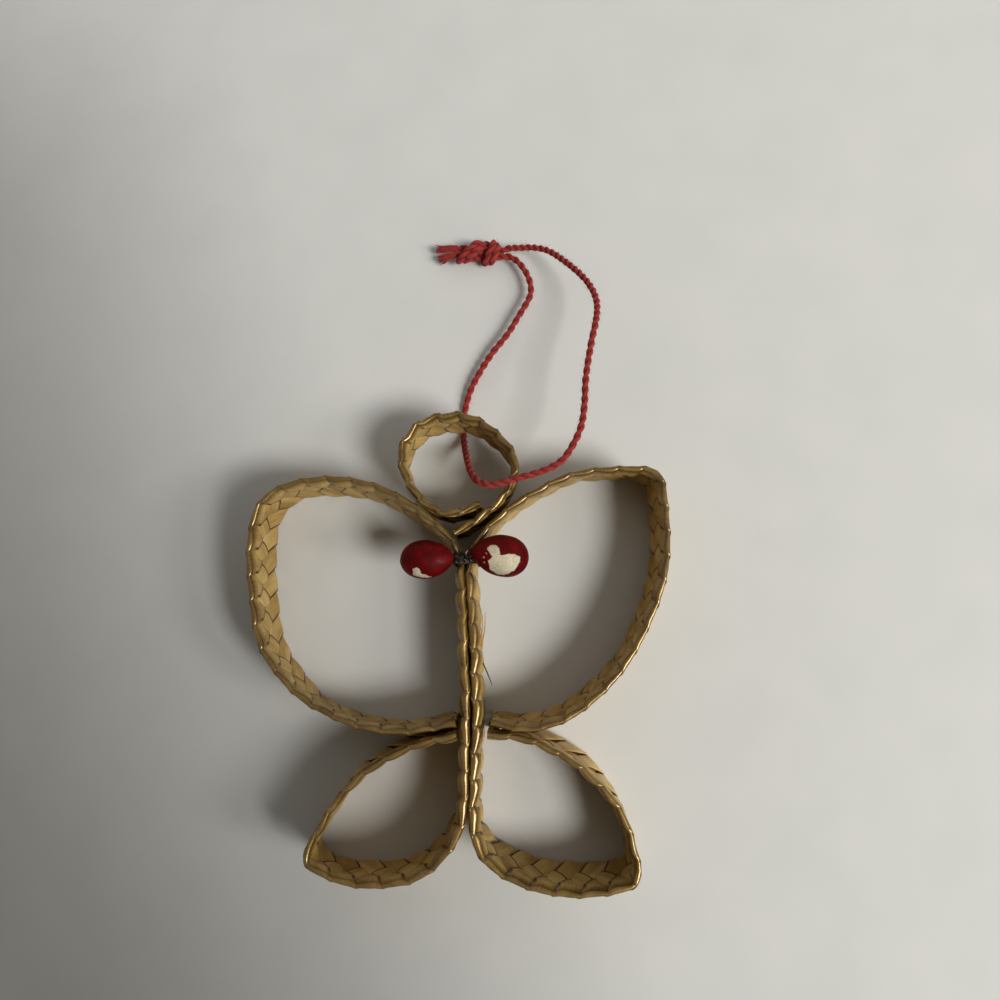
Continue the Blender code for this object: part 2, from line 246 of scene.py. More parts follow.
def feed(tree, node, links):
    """Links each input, by name or number, to an output. A node stands for its output in use."""
    for key, source in links.items():
        if isinstance(source, bpy.types.Node):
            source = next(output for output in source.outputs if output.enabled)
        tree.links.new(source, node.inputs[key])


def add_node(tree, kind, links=None, **settings):
    """Adds a node, and feeds its inputs from links.

    A setting is a property, or the value of an input: its name with _ for spaces, or its number
    as in1.
    """
    node = tree.nodes.new("ShaderNode" + kind)
    for key, value in settings.items():
        if key.startswith("in") and key[2:].isdigit():
            node.inputs[int(key[2:])].default_value = value
        elif hasattr(node, key):
            setattr(node, key, value)
        else:
            node.inputs[key.replace("_", " ")].default_value = value
    feed(tree, node, links or {})
    return node


def set_ramp(ramp, stops):
    """Fills a colour ramp from (place, hex colour) pairs."""
    elements = ramp.color_ramp.elements
    while len(elements) > len(stops):
        elements.remove(elements[-1])
    while len(elements) < len(stops):
        elements.new(1.0)
    for element, (place, code) in zip(elements, stops):
        element.position = place
        element.color = colour(code)


# Wool yarn, spun and dyed: fully rough, with a soft sheen from the loose fibres. The fibres are
# drawn coarser than real ones, 34 round the yarn. The groove between the plies has painted shade.
wool, tree, shader = new_material(
    "crimson_wool", Roughness=0.92, Sheen_Weight=0.12, Sheen_Roughness=0.5
)
along = add_node(tree, "UVMap", uv_map="along")
fibre_scale = add_node(tree, "VectorMath", {0: along}, operation="MULTIPLY", in1=(700.0, 34.0, 1.0))
fibres = add_node(tree, "TexNoise", {"Vector": fibre_scale}, Scale=1.0, Detail=3.0, Roughness=0.6)
groove = add_node(tree, "UVMap", uv_map="groove")
depth = add_node(tree, "SeparateXYZ", {0: groove})
deep = add_node(tree, "Math", {0: depth.outputs["X"]}, operation="POWER", in1=2.5)
tint = add_node(tree, "ValToRGB", {"Fac": fibres})
set_ramp(tint, [(0.25, "#7a150f"), (0.5, "#9c231a"), (0.8, "#c03f2c")])
# Painted shade: each point turns towards a deep red by its depth in the groove between the plies.
groove_painted_shade = add_node(tree, "Mix", {"Factor": deep, "A": tint}, data_type="RGBA", B=colour("#430707"))
feed(tree, shader, {"Base Color": groove_painted_shade})

yarn_route = smooth_curve([Vector(p) * MM for p in YARN_POINTS])
yarn_line = even_points(yarn_route, round(line_length(yarn_route) / YARN_RING_STEP))
yarn = twisted_tube("wool_yarn", yarn_line, YARN_DIAMETER / 2, TIGHT_FROM)
yarn.data.materials.append(wool)
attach(yarn, "root")
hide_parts("hanging_yarn")

# ---------------------------------------------------------------- Yarn knot
# Both ends of the yarn tied together in one overhand knot, pulled tight. The cut ends stick out
# of it to the left, and their plies have come untwisted and flare like a small brush.

KNOT_MIDDLE = Vector((3.2, 87.4, 2.75)) * MM
# The middle between the two strands, and the half gap from one strand to the other, in mm
KNOT_ROUTE = [
    ((7.2, -0.15, 0.6), (0.0, 0.55, 0.95)), ((5.6, -0.2, 0.2), (0.0, 0.4, 0.65)),
    ((3.4, -0.3, -0.2), (0.0, 0.4, 0.5)), ((0.0, -0.2, -0.4), (0.0, 0.55, 0.3)),
    ((-2.5, -0.4, -0.7), (0.1, 0.6, 0.1)), ((-3.7, -1.2, -0.5), (-0.5, 0.35, -0.1)),
    ((-3.6, -2.0, 0.4), (-0.65, -0.1, -0.1)), ((-2.6, -1.5, 1.5), (-0.6, 0.3, 0.1)),
    ((-1.2, -0.2, 2.0), (-0.55, 0.4, 0.0)), ((0.3, 1.2, 1.6), (-0.6, 0.25, 0.2)),
    ((1.2, 2.0, 0.3), (-0.7, 0.0, 0.1)), ((1.6, 1.6, -1.2), (-0.7, 0.0, 0.0)),
    ((1.8, 0.0, -1.9), (-0.7, 0.0, 0.0)), ((2.0, -1.5, -1.4), (-0.7, 0.0, 0.0)),
    ((2.4, -2.1, 0.0), (-0.68, -0.1, 0.0)), ((3.0, -1.3, 1.4), (-0.55, 0.35, 0.1)),
    ((3.8, 0.2, 1.9), (-0.45, 0.5, 0.2)), ((4.0, 1.5, 1.2), (-0.55, 0.25, 0.3)),
    ((3.0, 1.6, 0.2), (-0.3, -0.3, 0.45)), ((1.0, 0.6, 0.2), (0.0, -0.3, 0.55)),
    ((-2.0, 0.6, 0.3), (0.0, -0.55, 0.3)), ((-4.2, 0.5, 0.2), (0.0, -0.65, 0.1)),
    ((-5.2, 0.5, 0.0), (0.0, -0.7, 0.0)),
]
KNOT_STRAND_RADIUS = 0.8 * MM
# The middle of each frayed end in mm from the knot's, and how far it has spread at its tip
TAILS = [
    ([(-4.6, -0.1, 0.2), (-6.0, -0.5, -0.1), (-7.8, -0.9, -0.6), (-9.4, -1.4, -1.2)], 1.3 * MM),
    ([(-4.6, 1.0, 0.2), (-6.2, 1.2, 0.2), (-8.0, 1.1, -0.1), (-9.9, 1.4, -0.5)], 0.95 * MM),
]
TAIL_START_RADIUS = 0.62 * MM
TAIL_STEPS = 8
TAIL_FLATNESS = 0.8
TAIL_FIBRES = 46
TAIL_FIBRE_RADIUS = 0.11 * MM
TAIL_FLOOR = 0.12 * MM
GOLDEN_ANGLE = 2.39996
TAIL_FLARE = 1.3
STRAND_TAPER = 0.6
PATTERN_TURNS = 9
DEEPEST_SHADE = 0.7


def fine_strands(name, lines, radius, sides, seed):
    """Thin closed tubes, each tapering to its end, as one mesh with the yarn's UV maps.

    Each has a place of its own in the fibres' pattern and its own depth of shade.
    """
    rng = random.Random(seed)
    mesh = bpy.data.meshes.new(name)
    bm = bmesh.new()
    along = bm.loops.layers.uv.new("along")
    groove = bm.loops.layers.uv.new("groove")
    for line in lines:
        turn, shade = rng.random() * PATTERN_TURNS, rng.random() ** 2 * DEEPEST_SHADE
        rings = []
        for k, (point, (side, over)) in enumerate(zip(line, carried_frames(line))):
            thin = radius * (1 - STRAND_TAPER * (k / (len(line) - 1)) ** 3)
            rings.append([])
            for n in range(sides):
                a = 2 * math.pi * n / sides
                out = side * math.cos(a) + over * math.sin(a)
                rings[-1].append(bm.verts.new(point + out * thin))
        quads = [
            [low[n], low[(n + 1) % sides], high[(n + 1) % sides], high[n]]
            for low, high in zip(rings, rings[1:]) for n in range(sides)
        ]
        for corners in quads + [rings[0][::-1], rings[-1]]:
            face = bm.faces.new(corners)
            face.smooth = True
            for loop in face.loops:
                loop[along].uv = (loop.vert.co.x, turn)
                loop[groove].uv = (shade, 0.0)
    bm.to_mesh(mesh)
    bm.free()
    obj = bpy.data.objects.new(name, mesh)
    bpy.context.collection.objects.link(obj)
    return obj


def frayed_tail(points, end_radius, seed):
    """Lines of fibres that lie side by side at the start and spread out to a ragged end."""
    rng = random.Random(seed)
    route = smooth_curve([KNOT_MIDDLE + Vector(p) * MM for p in points])
    middle = even_points(route, TAIL_STEPS)
    frames = carried_frames(middle)
    lines = []
    for k in range(TAIL_FIBRES):
        angle, out = k * GOLDEN_ANGLE, math.sqrt((k + 0.5) / TAIL_FIBRES)
        reach = rng.uniform(0.78, 1.0)
        swirl = rng.uniform(-0.5, 0.5)
        line = []
        for n, (side, over) in enumerate(frames):
            share = n / TAIL_STEPS * reach
            place = min(int(share * TAIL_STEPS), TAIL_STEPS - 1)
            here = middle[place].lerp(middle[place + 1], share * TAIL_STEPS - place)
            spread = (end_radius - TAIL_START_RADIUS) * share**TAIL_FLARE
            radius = out * (TAIL_START_RADIUS + spread)
            a = angle + swirl * share
            spot = here + (side * math.cos(a) + over * math.sin(a) * TAIL_FLATNESS) * radius
            spot.z = max(spot.z, TAIL_FLOOR)
            line.append(spot)
        lines.append(line)
    return lines


def joined(pieces):
    """The pieces as one object, which keeps the first one's name."""
    bpy.ops.object.select_all(action="DESELECT")
    for piece in pieces:
        piece.select_set(True)
    bpy.context.view_layer.objects.active = pieces[0]
    bpy.ops.object.join()
    return pieces[0]


strands, knot_lines = [], []
for half in (1, -1):
    spots = [KNOT_MIDDLE + (Vector(middle) + Vector(gap) * half) * MM for middle, gap in KNOT_ROUTE]
    route = smooth_curve(spots, 6)
    knot_lines.append(even_points(route, round(line_length(route) / YARN_RING_STEP)))
    strands.append(twisted_tube("knot_strand", knot_lines[-1], KNOT_STRAND_RADIUS))
tails = []
for k, (points, end_radius) in enumerate(TAILS):
    tails += frayed_tail(points, end_radius, seed=5 + k)
strands.append(fine_strands("knot_tails", tails, TAIL_FIBRE_RADIUS, sides=5, seed=8))
for strand in strands:
    strand.data.materials.append(wool)
yarn_knot = joined(strands)
yarn_knot.name = "wool_yarn_knot"
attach(yarn_knot, "root")
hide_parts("yarn_knot")

# The wool's loose hairs stand out all along the yarn and the knot, and lean and curl.
HAIR_RADIUS = 0.018 * MM
HAIR_LENGTH_MM = (0.35, 1.0)
HAIR_FLOOR = 0.1 * MM
HAIR_ROOT = 0.36
HAIR_OUT, HAIR_CURL, HAIR_BEND = 0.8, 0.5, 0.6
YARN_HAIRS, KNOT_HAIRS = 1500, 260
hair_rng = random.Random(17)
hairs = []
for hairy, count in [(yarn_line, YARN_HAIRS)] + [(route, KNOT_HAIRS) for route in knot_lines]:
    for _ in range(count):
        place = hair_rng.randrange(2, len(hairy) - 2)
        ahead = (hairy[place + 1] - hairy[place]).normalized()
        out = Vector([hair_rng.gauss(0, 1) for _ in range(3)]).cross(ahead).normalized()
        lean = (ahead * hair_rng.uniform(-1.0, 1.0) + out * HAIR_OUT).normalized()
        curl = Vector([hair_rng.gauss(0, 1) for _ in range(3)]) * HAIR_CURL
        length = hair_rng.uniform(*HAIR_LENGTH_MM) * MM
        root = hairy[place] + out * YARN_DIAMETER * HAIR_ROOT
        shares = (0.0, 0.35, 0.7, 1.0)
        line = [root + (lean * u + curl * u * u * HAIR_BEND) * length for u in shares]
        if min(p.z for p in line) > HAIR_FLOOR:
            hairs.append(line)
hair = fine_strands("wool_yarn_hairs", hairs, HAIR_RADIUS, sides=3, seed=4)
hair.data.materials.append(wool)
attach(hair, "root")

# ---------------------------------------------------------------- Plaits
# Three flat plaits of four split wheat straws, woven damp over one and under one and pressed flat.
# Each straw folds over the rim, so the rim is a row of glossy folds and the faces are chequered.
# They stand on edge: one makes both left wings, one both right wings, and a finer one the head.

# The straw's dents and the ragged edges of the berries' chips keep to one seed
noise.seed_set(5)
STRAWS = 4
STRAW_SIDES = 16
STRAW_HALF_MM = 1.6
STRAW_LEG = 13.0 * MM
STRAW_THICK = 0.4 * MM
ROWS_PER_LEG = 36
PLAIT_WIDTH = 15.4 * MM
FOLD_PITCH = 4.9 * MM
WING_CREASE, WING_EAR = 0.34 * MM, 0.08 * MM
HEAD_WIDTH = 13.4 * MM
HEAD_PITCH = 4.4 * MM
HEAD_CREASE, HEAD_EAR = 0.75 * MM, 0.3 * MM
# The fold over the rim: its arc as a share of its rise, how round it is, and how the straw slows
CREST_THICK = 0.28 * MM
CREST_REACH = 1.2 * MM
CREST_FORWARD = 0.2 * MM
FOLD_RISE = 0.46 * MM
FOLD_ARC = 1.1
FOLD_ROUND = 0.64
FOLD_LEAD = 0.21
SLOW_AT_RIMS = 0.6
# The crease where the next fold presses into this one, from the covered edge to the open one
CREASE_HIGH, CREASE_FALL, CREASE_NICK, NICK_WIDTH = 0.9, 1.5, 1.2, 0.17
EAR_LEVEL = 0.3
# The weave: how far a straw passes over and under the next ones, and swells below its fold
WEAVE_DEPTH = 0.28 * MM
STRAW_TILT = 0.2 * MM
STEEPER_AT_RIMS = 0.33
OVER_FROM, OVER_TO, OVER_SOFT = 1.5, 2.5, 0.35
FOLD_BULGE = 0.32 * MM
BULGE_FULL, BULGE_DOWN_MM, BULGE_REACH_MM = 1.25, 2.1, 1.4
STRAW_SPREAD, CREST_SPREAD = 0.99, 0.2
# The wire pinches the wings at the neck, and below it the two plaits of the body spread
NECK = Vector((1.35, 16.6)) * MM
PINCH_REACH = 1.9 * MM
PINCH_TOP = 0.7 * MM
PINCH_FOOT = 1.1 * MM
BODY_TOP = 14 * MM
BODY_X_MM, BODY_HALF_MM = 2.4, 4
BODY_FULLNESS = 0.35
# Each station is (x, y, way, foot): the rim's place in mm, the way that the plait runs there in
# degrees, and how far its foot stands out to the left of the rim in mm
LEFT_STATIONS = [
    (-0.1, -15.0, 188, 0.0), (-11.0, -16.5, 181, 0.4), (-26.5, -12.4, 154, 1.1),
    (-36.5, -3.6, 128, -0.1), (-40.3, 6.5, 100, -0.3), (-41.6, 18.5, 90, -0.5),
    (-40.3, 27.0, 62, -0.3), (-35.2, 31.2, 21, 0.1), (-26.0, 32.7, 0, -0.9),
    (-14.0, 29.9, -27, -1.1), (-5.0, 23.9, -42, -1.1), (0.0, 17.6, -68, 0.0),
    (0.4, 12.0, -86, 0.0), (1.1, -3.0, -88, 0.0), (1.5, -14.0, -90, 0.0),
    (1.4, -25.0, -91, 0.0), (0.8, -33.0, -102, -0.6), (-3.0, -39.9, -132, -0.6),
    (-14.2, -44.3, 180, 0.4), (-24.6, -42.5, 156, 1.6), (-27.7, -40.6, 125, 1.4),
    (-27.6, -38.0, 60, 0.9), (-24.9, -33.2, 63, 0.5), (-18.8, -25.6, 42, 0.7),
    (-10.0, -20.3, 24, 0.4), (0.0, -17.6, 12, 0.0),
]
RIGHT_STATIONS = [
    (6.7, -14.8, -16, 0.0), (14.0, -16.0, 2, 0.8), (24.0, -12.3, 36, 0.6),
    (33.5, -2.6, 56, 0.1), (39.4, 9.1, 70, 0.4), (41.5, 18.9, 87, 0.3),
    (41.2, 29.4, 93, 0.0), (40.4, 32.9, 118, -0.5), (37.4, 34.4, 176, -1.0),
    (28.0, 34.2, 182, -1.3), (17.8, 31.0, 207, -0.8), (10.0, 26.3, 220, -0.2),
    (4.6, 20.8, 232, 0.0), (2.7, 16.4, 262, 0.0), (2.6, 12.0, -85, 0.0),
    (3.5, -1.0, -87, 0.0), (4.0, -14.0, -90, 0.0), (3.7, -24.0, -92, 0.0),
    (3.4, -31.5, -90, 0.0), (4.6, -38.0, -62, 0.2), (9.3, -42.6, -28, 1.2),
    (21.3, -45.7, -2, 0.9), (30.6, -44.9, 13, 0.4), (33.6, -43.5, 55, -0.3),
    (34.1, -41.1, 104, -0.4), (31.9, -33.3, 114, -0.6), (25.1, -24.8, 138, -1.2),
    (16.1, -19.3, 156, -0.8), (5.9, -17.5, 178, 0.0),
]
HEAD_STATIONS = [
    (4.6, 27.7, 194, 0.0), (-1.8, 26.0, 182, 0.0), (-7.8, 28.9, 133, 0.0),
    (-11.8, 37.3, 93, 0.2), (-9.2, 42.9, 50, 0.2), (-1.4, 45.8, 2, 0.0),
    (6.2, 43.1, -38, 0.0), (11.3, 36.3, -80, 0.0), (9.2, 29.7, -121, 0.0),
    (4.2, 25.1, -140, 0.0), (-1.0, 22.1, -154, 0.0),
]


def hermite_run(start, end, samples=24):
    """Points (x, y, foot) from one station to the next, leaving out the last, near to an arc."""
    p0, p1 = Vector(start[:2]) * MM, Vector(end[:2]) * MM
    a0, a1 = math.radians(start[2]), math.radians(end[2])
    turn = (a1 - a0 + math.pi) % (2 * math.pi) - math.pi
    half = max(abs(turn) / 2, 1e-3)
    reach = 2 * math.tan(half / 2) / math.sin(half) * (p1 - p0).length
    t0 = Vector((math.cos(a0), math.sin(a0))) * reach
    t1 = Vector((math.cos(a1), math.sin(a1))) * reach
    points = []
    for k in range(samples):
        u = k / samples
        ease = 3 * u**2 - 2 * u**3
        place = p0 * (1 - ease) + t0 * (u**3 - 2 * u**2 + u) + p1 * ease + t1 * (u**3 - u**2)
        points.append(Vector((*place, (start[3] * (1 - ease) + end[3] * ease) * MM)))
    return points


def plait_line(stations, pitch):
    """The middle line of a plait's top rim at even steps, and its number of folds."""
    points = []
    for start, end in zip(stations, stations[1:]):
        points += hermite_run(start, end)
    x, y, _, foot = stations[-1]
    points.append(Vector((x, y, foot)) * MM)
    folds = round(sum(math.dist(a[:2], b[:2]) for a, b in zip(points, points[1:])) / pitch)
    return even_points(points, folds * 6, 2), folds


def ease_step(x, edge, soft):
    t = min(max((x - edge) / (2 * soft) + 0.5, 0.0), 1.0)
    return t * t * (3 - 2 * t)


def straw_middle(turn, across, pitch, width, crease, ear):
    """The middle surface of one woven straw in a straight plait, at its own pace.

    turn counts the straw's crossings from rim to rim, and across runs from -1 to 1 over its width.
    The point is (along the plait, through its thickness, height). A straw comes up behind, crosses
    over one in the middle, goes behind again, folds over the top rim and goes down in front. Its
    lower edge stands proud in front. The fold has a thin wavy crest, and is set forward.
    """
    leg = math.floor(turn)
    share = turn - leg
    side = 1 if leg % 2 == 0 else -1
    upright = width - CREST_THICK - 2 * FOLD_RISE
    whole = upright + 2 * FOLD_RISE
    fold_arc = FOLD_ARC * FOLD_RISE
    paced = share - SLOW_AT_RIMS * math.sin(2 * math.pi * share) / (2 * math.pi)
    run = paced * (2 * fold_arc + upright)
    bend = min(run, 2 * fold_arc + upright - run, fold_arc) / fold_arc * math.pi / 2
    rise = FOLD_RISE * (1 - math.cos(bend)) ** FOLD_ROUND
    if run < fold_arc:
        climb = rise
    elif run < fold_arc + upright:
        climb = FOLD_RISE + run - fold_arc
    else:
        climb = whole - rise
    if side < 0:
        climb = whole - climb
    level = climb / whole
    column = STRAWS * level - STEEPER_AT_RIMS * math.sin(math.pi * level)
    crossing = column + side * across / 2
    over = ease_step(crossing, OVER_FROM, OVER_SOFT) - ease_step(crossing, OVER_TO, OVER_SOFT)
    near_rim = min(climb, whole - climb)
    below_fold = (near_rim / MM - BULGE_DOWN_MM) / BULGE_REACH_MM
    bulge = FOLD_BULGE * (BULGE_FULL - across**2) * math.exp(-(below_fold**2))
    crest = math.exp(-((near_rim / CREST_REACH) ** 2))
    through = side * math.sin(bend) * ((2 * over - 1) * (WEAVE_DEPTH + bulge) + STRAW_TILT * across)
    start = (1 + across) / 2
    nick = CREASE_NICK * math.exp(-((start / NICK_WIDTH) ** 2))
    through += crest * (crease * (CREASE_HIGH - CREASE_FALL * start - nick) - CREST_FORWARD)
    outwards = 1 if level > 0.5 else -1
    height = CREST_THICK / 2 + climb + crest * ear * (abs(across) ** 3 - EAR_LEVEL) * outwards
    along = STRAWS * leg + (column if side > 0 else STRAWS - column)
    along += across * (STRAW_SPREAD + CREST_SPREAD * crest)
    along += max(1 - (1 - level) / FOLD_LEAD, 0.0)
    return Vector((along * pitch / 2, through, height))


def tube_grid(name, sides, radius, length, cuts):
    """An open tube from a cylinder, cut across cuts times and again cuts times."""
    bpy.ops.object.select_all(action="DESELECT")
    bpy.ops.mesh.primitive_cylinder_add(
        vertices=sides, radius=radius, depth=length, end_fill_type="NOTHING"
    )
    tube = bpy.context.object
    tube.name = name
    for _ in range(2):
        bpy.ops.object.mode_set(mode="EDIT")
        bpy.ops.mesh.select_all(action="DESELECT")
        bpy.ops.mesh.select_mode(type="EDGE")
        bpy.ops.object.mode_set(mode="OBJECT")
        points = tube.data.vertices
        for edge in tube.data.edges:
            a, b = (points[v].co for v in edge.vertices)
            edge.select = abs(a.z - b.z) > abs(a.x - b.x) + abs(a.y - b.y)
        bpy.ops.object.mode_set(mode="EDIT")
        bpy.ops.mesh.subdivide(number_cuts=cuts)
        bpy.ops.object.mode_set(mode="OBJECT")
    return tube


def keep_sign(value, power):
    return math.copysign(abs(value) ** power, value)


def weave_straw(tube, length, first_turn, turns, *plait_form):
    """Presses the tube flat and lays it along a straw's path.

    Its UV map holds the way across and along the straw in metres.
    """
    flat, crest = STRAW_THICK / 2, CREST_THICK / 2
    step_turn, step_across = 0.004, 0.05
    squareness, flatness = 0.8, 0.45
    crest_length = 0.12

    def middle_at(turn, across):
        return straw_middle(turn, across, *plait_form)

    cuts, places = {}, []
    for vert in tube.data.vertices:
        around = math.atan2(vert.co.y, vert.co.x)
        turn = first_turn + turns * (vert.co.z / length + 0.5)
        across = keep_sign(math.cos(around), squareness)
        key = (round(turn, 5), round(across, 4))
        if key not in cuts:
            ahead = middle_at(turn + step_turn, across) - middle_at(turn - step_turn, across)
            side = middle_at(turn, across + step_across) - middle_at(turn, across - step_across)
            share = turn % 1.0
            rim = min(share, 1 - share) * STRAWS
            plump = flat + (crest - flat) * math.exp(-((rim / crest_length) ** 2))
            cuts[key] = (middle_at(turn, across), ahead.cross(side).normalized(), plump)
        middle, normal, plump = cuts[key]
        vert.co = middle + normal * plump * keep_sign(math.sin(around), flatness)
        places.append((across * STRAW_HALF_MM * MM, turn * STRAW_LEG))
    layer = tube.data.uv_layers[0]
    layer.name = "straw"
    for loop, place in zip(tube.data.loops, layer.data):
        place.uv = places[loop.vertex_index]


def bend_along(obj, line, width, foot_height):
    """Bends a straight plait along its line: leaning, pinched at the neck and fuller below it."""
    spacing = math.dist(line[0][:2], line[1][:2])
    last = len(line) - 1
    sides = []
    for k in range(len(line)):
        way = (line[min(k + 1, last)] - line[max(k - 1, 0)]).to_2d().normalized()
        sides.append(Vector((-way.y, way.x)))
    for vert in obj.data.vertices:
        place = min(max(vert.co.x / spacing, 0.0), last - 1e-6)
        k = int(place)
        share = place - k
        rim = line[k].lerp(line[k + 1], share)
        side = sides[k].lerp(sides[k + 1], share).normalized()
        middle = rim.to_2d()
        pinch = math.exp(-(((middle - NECK).length / PINCH_REACH) ** 4))
        low, top = PINCH_FOOT * pinch, width - PINCH_TOP * pinch
        height = foot_height + low + (top - low) * vert.co.z / width
        body = math.exp(-(((middle.x / MM - BODY_X_MM) / BODY_HALF_MM) ** 4))
        fuller = 1 + BODY_FULLNESS * body * (middle.y < BODY_TOP)
        middle += side * (vert.co.y * fuller + rim.z * (PLAIT_WIDTH - height) / PLAIT_WIDTH)
        vert.co = (*middle, height)


def plait(name, node, stations, pitch, width, inner, crease, ear, seed):
    """One plait: a straw is woven, copied three times a fold further on, trimmed and bent.

    inner is 1 where the front of the plait faces the left of its line, and -1 where it faces the
    right. All the rims are at one height, so a narrower plait stands clear of the table. Each straw
    takes its pattern an even number of legs further on, so its dark brown edge keeps its side.
    """
    legs_between = 46
    dent_length, dents_along, dents_up = 7 * MM, 1.5, 0.8
    line, folds = plait_line(stations, pitch)
    length = folds * pitch
    leg = STRAWS / 2 * pitch
    first_turn = -2 * math.ceil((STRAWS + 2) * pitch / leg / 2)
    turns = math.ceil((length + 2 * pitch) / leg) - first_turn
    cuts = math.ceil(math.sqrt(turns * ROWS_PER_LEG))
    tube = tube_grid(name, STRAW_SIDES, pitch / 2, length, cuts)
    weave_straw(tube, length, first_turn, turns, pitch, width, crease, ear)
    straws = [tube]
    for n in range(1, STRAWS):
        copy = tube.copy()
        copy.data = tube.data.copy()
        bpy.context.collection.objects.link(copy)
        for vert in copy.data.vertices:
            vert.co.x += n * pitch
        for place in copy.data.uv_layers[0].data:
            place.uv[1] += n * legs_between * STRAW_LEG
        straws.append(copy)
    joined(straws)
    bpy.ops.object.mode_set(mode="EDIT")
    for at, clear in ((0.0, "clear_inner"), (length, "clear_outer")):
        bpy.ops.mesh.select_all(action="SELECT")
        bpy.ops.mesh.bisect(plane_co=(at, 0, 0), plane_no=(1, 0, 0), use_fill=True, **{clear: True})
    bpy.ops.object.mode_set(mode="OBJECT")
    for vert in tube.data.vertices:
        at = vert.co / dent_length + Vector((seed, 0, 0))
        dent = noise.noise_vector(at) * 0.16 * MM + noise.noise_vector(at * 3.1) * 0.08 * MM
        vert.co += Vector((dent.x * dents_along, dent.y, dent.z * dents_up))
        vert.co.y *= inner
    bend_along(tube, line, width, PLAIT_WIDTH - width)
    bpy.ops.object.mode_set(mode="EDIT")
    bpy.ops.mesh.select_all(action="SELECT")
    bpy.ops.mesh.normals_make_consistent(inside=False)
    bpy.ops.object.mode_set(mode="OBJECT")
    bpy.ops.object.shade_smooth_by_angle(angle=math.radians(60))
    tube.data.materials.append(straw_skin)
    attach(tube, "root")
    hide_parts(node)


# Wheat straw, split, pressed and woven: a waxy golden skin. Its fibres are drawn coarser than real
# ones, 0.14 mm apart, and its blotches are about 3 mm wide and 12 mm long.
straw_skin, tree, shader = new_material(
    "wheat_straw", IOR=1.3, Specular_IOR_Level=0.1, Coat_IOR=1.8, Coat_Roughness=0.2
)
straw_map = add_node(tree, "UVMap", uv_map="straw")
millimetres = add_node(tree, "VectorMath", {0: straw_map}, operation="MULTIPLY", in1=(1 / MM,) * 3)
fibre_space = add_node(tree, "VectorMath", {0: millimetres}, operation="MULTIPLY",
                       in1=(7.0, 0.35, 1.0))
fibres = add_node(tree, "TexNoise", {"Vector": fibre_space}, Scale=1.0, Detail=3.0, Roughness=0.65)
blotch_space = add_node(tree, "VectorMath", {0: millimetres}, operation="MULTIPLY",
                        in1=(0.35, 0.085, 1.0))
blotches = add_node(tree, "TexNoise", {"Vector": blotch_space},
                    Scale=1.0, Detail=2.0, Roughness=0.5)
mixed = add_node(tree, "Mix", {"A": fibres, "B": blotches}, data_type="FLOAT", Factor=0.62)
straw_tint = add_node(tree, "ValToRGB", {"Fac": mixed})
set_ramp(straw_tint, [(0.3, "#83663a"), (0.45, "#a98a50"), (0.56, "#c0a264"), (0.7, "#d8bb80")])
# Near the top rim the folds have painted shade, darker and more golden, and a deep satin shine.
place = add_node(tree, "TexCoord").outputs["Object"]
place_parts = add_node(tree, "SeparateXYZ", {0: place})
rim_shade_and_shine = add_node(tree, "MapRange", {"Value": place_parts.outputs["Z"]},
                  From_Min=PLAIT_WIDTH - 2.0 * MM, From_Max=PLAIT_WIDTH - 0.4 * MM)
# Painted shade: the straw's colour is multiplied darker and more golden towards the top rim.
rim_painted_shade = add_node(tree, "Mix", {"Factor": rim_shade_and_shine, "A": straw_tint}, data_type="RGBA",
                   blend_type="MULTIPLY", B=(0.49, 0.435, 0.275, 1.0))
# The edge that stands proud changes sides from one crossing to the next, and is drawn dark brown,
# more so further below the rim.
straw_parts = add_node(tree, "SeparateXYZ", {0: millimetres})
legs = add_node(tree, "Math", {0: straw_parts.outputs["Y"]}, operation="DIVIDE",
                in1=2 * STRAW_LEG / MM)
leg_share = add_node(tree, "Math", {0: legs}, operation="FRACT")
falls = add_node(tree, "Math", {0: leg_share}, operation="GREATER_THAN", in1=0.5)
way = add_node(tree, "Math", {0: falls}, operation="MULTIPLY_ADD", in1=-2.0, in2=1.0)
to_proud = add_node(tree, "Math", {0: straw_parts.outputs["X"], 1: way}, operation="MULTIPLY")
edge = add_node(tree, "MapRange", {"Value": to_proud}, interpolation_type="SMOOTHSTEP",
                From_Min=1.05, From_Max=1.4)
edge_ragged = add_node(tree, "Math", {0: edge, 1: fibres}, operation="MULTIPLY")
off_rim = add_node(tree, "MapRange", {"Value": place_parts.outputs["Z"]}, To_Min=0.4, To_Max=2.3,
                   From_Min=PLAIT_WIDTH - 0.8 * MM, From_Max=PLAIT_WIDTH - 2.6 * MM)
edge_share = add_node(tree, "Math", {0: edge_ragged, 1: off_rim}, operation="MULTIPLY",
                      use_clamp=True)
edged = add_node(tree, "Mix", {"Factor": edge_share, "A": rim_painted_shade}, data_type="RGBA",
                 B=colour("#472708"))
gloss = add_node(tree, "MapRange", {"Value": fibres}, To_Min=0.2, To_Max=0.42)
ridges = add_node(tree, "Bump", {"Height": fibres}, Strength=0.35, Distance=0.06 * MM)
shine = add_node(tree, "Math", {0: rim_shade_and_shine}, operation="MULTIPLY", in1=0.65)
wax = add_node(tree, "Math", {0: rim_shade_and_shine}, operation="MULTIPLY", in1=0.45)
feed(tree, shader, {"Base Color": edged, "Roughness": gloss, "Normal": ridges, "Metallic": shine,
                    "Coat Weight": wax})

plait("left_wings", "left_plait", LEFT_STATIONS, FOLD_PITCH, PLAIT_WIDTH,
      inner=-1, crease=WING_CREASE, ear=WING_EAR, seed=3.0)
plait("right_wings", "right_plait", RIGHT_STATIONS, FOLD_PITCH, PLAIT_WIDTH,
      inner=1, crease=WING_CREASE, ear=WING_EAR, seed=11.0)
plait("head_ring", "head_plait", HEAD_STATIONS, HEAD_PITCH, HEAD_WIDTH,
      inner=-1, crease=HEAD_CREASE, ear=HEAD_EAR, seed=23.0)

